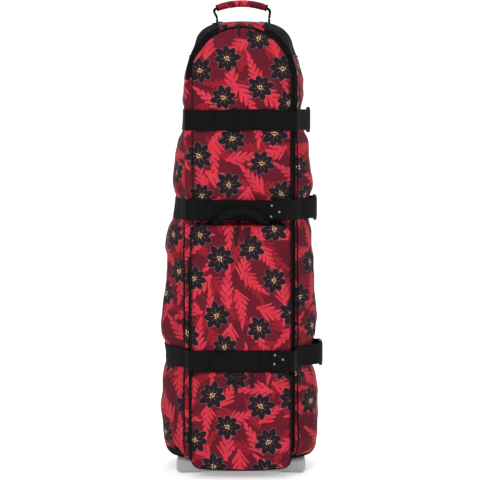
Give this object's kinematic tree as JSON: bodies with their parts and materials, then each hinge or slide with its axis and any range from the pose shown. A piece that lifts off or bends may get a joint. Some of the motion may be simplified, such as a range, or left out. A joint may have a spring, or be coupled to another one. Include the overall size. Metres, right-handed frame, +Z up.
{
  "type": "golf travel case",
  "caption": "Upright soft golf travel case with a side-hinged front door, zipped pockets, compression straps, a padded top handle and a moulded base with wheels.",
  "frame": {"origin": "centre of the case's footprint on the floor, at the height of the feet and wheels", "axes": "+Z up, the door faces -Y, +X to the right of a person who faces the door"},
  "size_m": [0.4574, 0.3274, 1.335],
  "materials": {
    "printed_polyester": "woven polyester with a floral print",
    "black_webbing": "ribbed woven webbing",
    "black_plastic": "fine moulded texture",
    "grey_plastic": "fine moulded texture",
    "wheel_tread": "cast polyurethane",
    "bright_metal": "plated",
    "black_zinc": "black plated zinc",
    "black_rubber": "moulded grip",
    "stiffener_sheet": "extruded sheet",
    "foam_lining": "lined foam"
  },
  "bodies": {
    "case": {"back_panel": "printed_polyester", "left_gusset": "printed_polyester", "right_gusset": "printed_polyester", "crown_gusset": "printed_polyester", "bottom_panel": "printed_polyester", "back_stiffener": "stiffener_sheet", "crown_pad": "foam_lining", "tie_down_strap": "black_webbing", "rim_zipper_tape": "black_webbing", "base_tray": "grey_plastic", "front_feet": "grey_plastic", "wheel_housing_left": "grey_plastic", "wheel_housing_right": "grey_plastic", "axle_bolts": "bright_metal", "axle_nuts": "bright_metal", "skid_rails": "black_plastic", "rail_rivets": "bright_metal", "handle_chapes": "black_webbing", "strap_rear_1": "black_webbing", "strap_rear_2": "black_webbing", "strap_rear_3": "black_webbing", "buckle_male_1": "black_plastic", "buckle_male_2": "black_plastic", "buckle_male_3": "black_plastic"},
    "wheel_left": {"tyre_left": "wheel_tread", "hub_left": "grey_plastic", "bearings_left": "bright_metal"},
    "wheel_right": {"tyre_right": "wheel_tread", "hub_right": "grey_plastic", "bearings_right": "bright_metal"},
    "door": {"door_panel": "printed_polyester", "door_zipper_tape": "black_webbing", "upper_panel_pad": "printed_polyester", "pocket_1_gusset": "printed_polyester", "pocket_2_gusset": "printed_polyester", "strap_front_1": "black_webbing", "strap_front_2": "black_webbing", "strap_front_3": "black_webbing", "buckle_female_1": "black_plastic", "buckle_female_2": "black_plastic", "buckle_female_3": "black_plastic", "strap_rivets": "bright_metal"},
    "flap_1": {"pocket_1_flap": "printed_polyester"},
    "flap_2": {"pocket_2_flap": "printed_polyester"},
    "grab_handle": {"grab_handle": "black_webbing"},
    "top_handle": {"handle_webbing": "black_webbing", "handle_sleeve": "printed_polyester"},
    "main_slider_left": {"main_slider_left": "black_zinc"},
    "main_pull_left": {"main_pull_left": "black_rubber"},
    "main_slider_right": {"main_slider_right": "black_zinc"},
    "main_pull_right": {"main_pull_right": "black_rubber"},
    "pocket_1_slider_left": {"pocket_1_slider_left": "black_zinc"},
    "pocket_1_pull_left": {"pocket_1_pull_left": "black_rubber"},
    "pocket_1_slider_right": {"pocket_1_slider_right": "black_zinc"},
    "pocket_1_pull_right": {"pocket_1_pull_right": "black_rubber"},
    "pocket_2_slider_left": {"pocket_2_slider_left": "black_zinc"},
    "pocket_2_pull_left": {"pocket_2_pull_left": "black_rubber"},
    "pocket_2_slider_right": {"pocket_2_slider_right": "black_zinc"},
    "pocket_2_pull_right": {"pocket_2_pull_right": "black_rubber"}
  },
  "joints": [
    {"name": "wheel_left_spin", "type": "hinge", "parent": "case", "child": "wheel_left", "pos_m": [-0.15, 0.127, 0.032], "axis": [1, 0, 0], "continuous": true},
    {"name": "wheel_right_spin", "type": "hinge", "parent": "case", "child": "wheel_right", "pos_m": [0.15, 0.127, 0.032], "axis": [1, 0, 0], "continuous": true},
    {"name": "door_swing", "type": "hinge", "parent": "case", "child": "door", "pos_m": [-0.15, -0.096, 0.65], "axis": [0, 0, -1], "range_deg": [0, 110]},
    {"name": "pocket_1_fold", "type": "hinge", "parent": "door", "child": "flap_1", "pos_m": [0, -0.1549, 0.364], "axis": [1, 0, 0], "range_deg": [0, 38]},
    {"name": "pocket_2_fold", "type": "hinge", "parent": "door", "child": "flap_2", "pos_m": [0, -0.1549, 0.04], "axis": [1, 0, 0], "range_deg": [0, 38]},
    {"name": "top_handle_tilt", "type": "hinge", "parent": "case", "child": "top_handle", "pos_m": [0, 0, 1.281], "axis": [1, 0, 0], "range_deg": [-35, 35]},
    {"name": "grab_handle_lift", "type": "hinge", "parent": "door", "child": "grab_handle", "pos_m": [0, -0.143, 0.716], "axis": [1, 0, 0], "range_deg": [0, 60]},
    {"name": "main_slider_left_run", "type": "hinge", "parent": "door", "child": "main_slider_left", "pos_m": [0, -0.1121, 1.116], "axis": [0, 1, 0], "range_deg": [-84, 0]},
    {"name": "main_pull_left_lift", "type": "hinge", "parent": "main_slider_left", "child": "main_pull_left", "pos_m": [-0.00793, -0.1121, 1.25778], "axis": [-0.9984, 0, -0.0558], "range_deg": [0, 75]},
    {"name": "main_slider_right_run", "type": "hinge", "parent": "door", "child": "main_slider_right", "pos_m": [0, -0.1121, 1.116], "axis": [0, 1, 0], "range_deg": [0, 78]},
    {"name": "main_pull_right_lift", "type": "hinge", "parent": "main_slider_right", "child": "main_pull_right", "pos_m": [0.02368, -0.1121, 1.25601], "axis": [-0.986, 0, 0.1668], "range_deg": [0, 75]},
    {"name": "pocket_1_slider_left_run", "type": "slide", "parent": "flap_1", "child": "pocket_1_slider_left", "axis": [1, 0, 0], "range_m": [-0.09, 0]},
    {"name": "pocket_1_pull_left_lift", "type": "hinge", "parent": "pocket_1_slider_left", "child": "pocket_1_pull_left", "pos_m": [-0.014, -0.1636, 0.698], "axis": [-1, 0, 0], "range_deg": [0, 90]},
    {"name": "pocket_1_slider_right_run", "type": "slide", "parent": "flap_1", "child": "pocket_1_slider_right", "axis": [1, 0, 0], "range_m": [0, 0.085]},
    {"name": "pocket_1_pull_right_lift", "type": "hinge", "parent": "pocket_1_slider_right", "child": "pocket_1_pull_right", "pos_m": [0.02, -0.1636, 0.698], "axis": [-1, 0, 0], "range_deg": [0, 90]},
    {"name": "pocket_2_slider_left_run", "type": "slide", "parent": "flap_2", "child": "pocket_2_slider_left", "axis": [1, 0, 0], "range_m": [-0.09, 0]},
    {"name": "pocket_2_pull_left_lift", "type": "hinge", "parent": "pocket_2_slider_left", "child": "pocket_2_pull_left", "pos_m": [-0.014, -0.1636, 0.289], "axis": [-1, 0, 0], "range_deg": [0, 90]},
    {"name": "pocket_2_slider_right_run", "type": "slide", "parent": "flap_2", "child": "pocket_2_slider_right", "axis": [1, 0, 0], "range_m": [0, 0.075]},
    {"name": "pocket_2_pull_right_lift", "type": "hinge", "parent": "pocket_2_slider_right", "child": "pocket_2_pull_right", "pos_m": [0.03, -0.1636, 0.289], "axis": [-1, 0, 0], "range_deg": [0, 90]}
  ]
}
